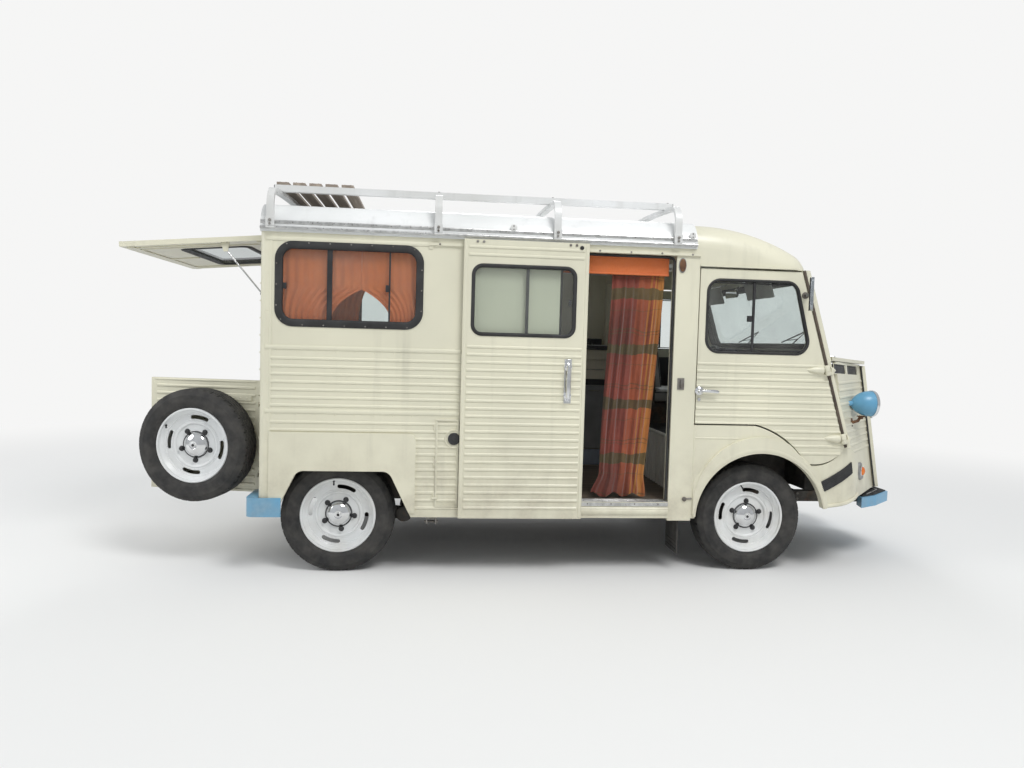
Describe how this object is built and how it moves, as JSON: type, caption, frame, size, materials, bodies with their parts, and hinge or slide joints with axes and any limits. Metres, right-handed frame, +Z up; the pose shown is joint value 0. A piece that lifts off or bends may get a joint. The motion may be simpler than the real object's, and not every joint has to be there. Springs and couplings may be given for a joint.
{
  "type": "camper van",
  "caption": "Short ribbed-sided panel van made into a camper, with a sliding side door, a rear hatch over two low doors, a roof rack and a spare wheel on the rear door.",
  "frame": {"origin": "on the ground, in the middle of the van's length and width as it stands with its hatch and rear door open", "axes": "+X to the nose, +Y to the driver's side (left), +Z up"},
  "size_m": [5.0505, 2.3112, 2.2929],
  "materials": {
    "body_paint": "satin",
    "roof_metal": "gloss",
    "rack_metal": "satin",
    "trim_blue": "gloss",
    "grille_paint": "satin",
    "window_glass": "gloss",
    "lamp_glass": "gloss",
    "mirror_black": "satin",
    "under_steel": "matte",
    "engine_iron": "matte",
    "exhaust_steel": "satin",
    "rubber_black": "matte",
    "seat_vinyl": "satin",
    "dash_plastic": "matte",
    "furniture_wood": "satin",
    "mattress_cloth": "matte",
    "curtain_cloth": "matte",
    "slat_wood": "matte",
    "strut_black": "satin",
    "rod_chrome": "polished",
    "tyre_rubber": "matte",
    "rim_paint": "gloss"
  },
  "bodies": {
    "body": {"bumpers": "trim_blue", "cab_floor": "body_paint", "cab_pillars": "body_paint", "cab_roof": "roof_metal", "chassis": "under_steel", "curtains": "curtain_cloth", "dashboard": "dash_plastic", "door_rail": "rack_metal", "engine": "engine_iron", "exhaust": "exhaust_steel", "fixed_glass": "window_glass", "front_suspension": "under_steel", "front_wings": "body_paint", "furniture": "furniture_wood", "grille": "grille_paint", "headlamps": "trim_blue", "lamp_lenses": "lamp_glass", "load_floor": "body_paint", "load_roof": "roof_metal", "mattress": "mattress_cloth", "mud_flaps": "rubber_black", "nose_sides": "body_paint", "rack_slats": "slat_wood", "rear_axle": "under_steel", "rear_frame": "body_paint", "roof_rack": "rack_metal", "seats": "seat_vinyl", "side_left": "body_paint", "side_right": "body_paint", "windscreen_frame": "body_paint"},
    "sliding_door": {"sliding_door": "body_paint", "sliding_glass": "window_glass"},
    "cab_door_right": {"cab_door_right": "body_paint", "cab_glass_right": "window_glass", "mirror_right": "mirror_black"},
    "cab_door_left": {"cab_door_left": "body_paint", "cab_glass_left": "window_glass", "mirror_left": "mirror_black"},
    "hatch": {"hatch": "body_paint", "hatch_glass": "window_glass"},
    "strut_tubes": {"strut_tubes": "strut_black"},
    "strut_rods": {"strut_rods": "rod_chrome"},
    "rear_door_right": {"rear_door_right": "body_paint", "spare_tyre": "tyre_rubber", "spare_rim": "rim_paint"},
    "rear_door_left": {"rear_door_left": "body_paint"},
    "bonnet": {"bonnet": "body_paint"},
    "knuckle_right": {"knuckle_right": "under_steel"},
    "knuckle_left": {"knuckle_left": "under_steel"},
    "wheel_front_right": {"tyre_front_right": "tyre_rubber", "rim_front_right": "rim_paint"},
    "wheel_front_left": {"tyre_front_left": "tyre_rubber", "rim_front_left": "rim_paint"},
    "wheel_rear_right": {"tyre_rear_right": "tyre_rubber", "rim_rear_right": "rim_paint"},
    "wheel_rear_left": {"tyre_rear_left": "tyre_rubber", "rim_rear_left": "rim_paint"}
  },
  "joints": [
    {"name": "side_door_slide", "type": "slide", "parent": "body", "child": "sliding_door", "axis": [-1, 0, 0], "range_m": [-0.557, 0.215]},
    {"name": "cab_door_right_hinge", "type": "hinge", "parent": "body", "child": "cab_door_right", "pos_m": [1.71699, -0.99, 1.3], "axis": [-0.288, 0, 0.9576], "range_deg": [0, 65]},
    {"name": "cab_door_left_hinge", "type": "hinge", "parent": "body", "child": "cab_door_left", "pos_m": [1.71699, 0.99, 1.3], "axis": [0.288, 0, -0.9576], "range_deg": [0, 65]},
    {"name": "hatch_hinge", "type": "hinge", "parent": "body", "child": "hatch", "pos_m": [-1.683, 0, 1.966], "axis": [0, 1, 0], "range_deg": [-85, 3]},
    {"name": "strut_tube_hinge", "type": "hinge", "parent": "body", "child": "strut_tubes", "pos_m": [-1.435, 0, 1.3], "axis": [0, 1, 0], "range_deg": [-2, 16]},
    {"name": "strut_rod_slide", "type": "slide", "parent": "strut_tubes", "child": "strut_rods", "axis": [-0.6393, 0, 0.769], "range_m": [-0.325, 0.014]},
    {"name": "rear_door_right_hinge", "type": "hinge", "parent": "body", "child": "rear_door_right", "pos_m": [-1.705, -0.706, 0.77], "axis": [0, 0, 1], "range_deg": [-78, 12]},
    {"name": "rear_door_left_hinge", "type": "hinge", "parent": "body", "child": "rear_door_left", "pos_m": [-1.705, 0.706, 0.77], "axis": [0, 0, -1], "range_deg": [0, 90]},
    {"name": "bonnet_hinge", "type": "hinge", "parent": "body", "child": "bonnet", "pos_m": [1.77597, 0, 1.352], "axis": [0, -1, 0], "range_deg": [0, 55]},
    {"name": "steer_right", "type": "hinge", "parent": "body", "child": "knuckle_right", "pos_m": [1.307, -0.738, 0.335], "axis": [0, 0, 1], "range_deg": [-28, 28]},
    {"name": "steer_left", "type": "hinge", "parent": "body", "child": "knuckle_left", "pos_m": [1.307, 0.738, 0.335], "axis": [0, 0, 1], "range_deg": [-28, 28]},
    {"name": "wheel_front_right_spin", "type": "hinge", "parent": "knuckle_right", "child": "wheel_front_right", "pos_m": [1.307, -0.812, 0.335], "axis": [0, 1, 0], "continuous": true},
    {"name": "wheel_front_left_spin", "type": "hinge", "parent": "knuckle_left", "child": "wheel_front_left", "pos_m": [1.307, 0.812, 0.335], "axis": [0, 1, 0], "continuous": true},
    {"name": "wheel_rear_right_spin", "type": "hinge", "parent": "body", "child": "wheel_rear_right", "pos_m": [-1.22, -0.812, 0.335], "axis": [0, 1, 0], "continuous": true},
    {"name": "wheel_rear_left_spin", "type": "hinge", "parent": "body", "child": "wheel_rear_left", "pos_m": [-1.22, 0.812, 0.335], "axis": [0, 1, 0], "continuous": true}
  ],
  "couplings": [
    {"joint": "strut_tube_hinge", "follows": "hatch_hinge", "ratio": -0.17073},
    {"joint": "strut_rod_slide", "follows": "hatch_hinge", "m_per_rad": 0.20933},
    {"joint": "steer_left", "follows": "steer_right", "ratio": 1}
  ]
}
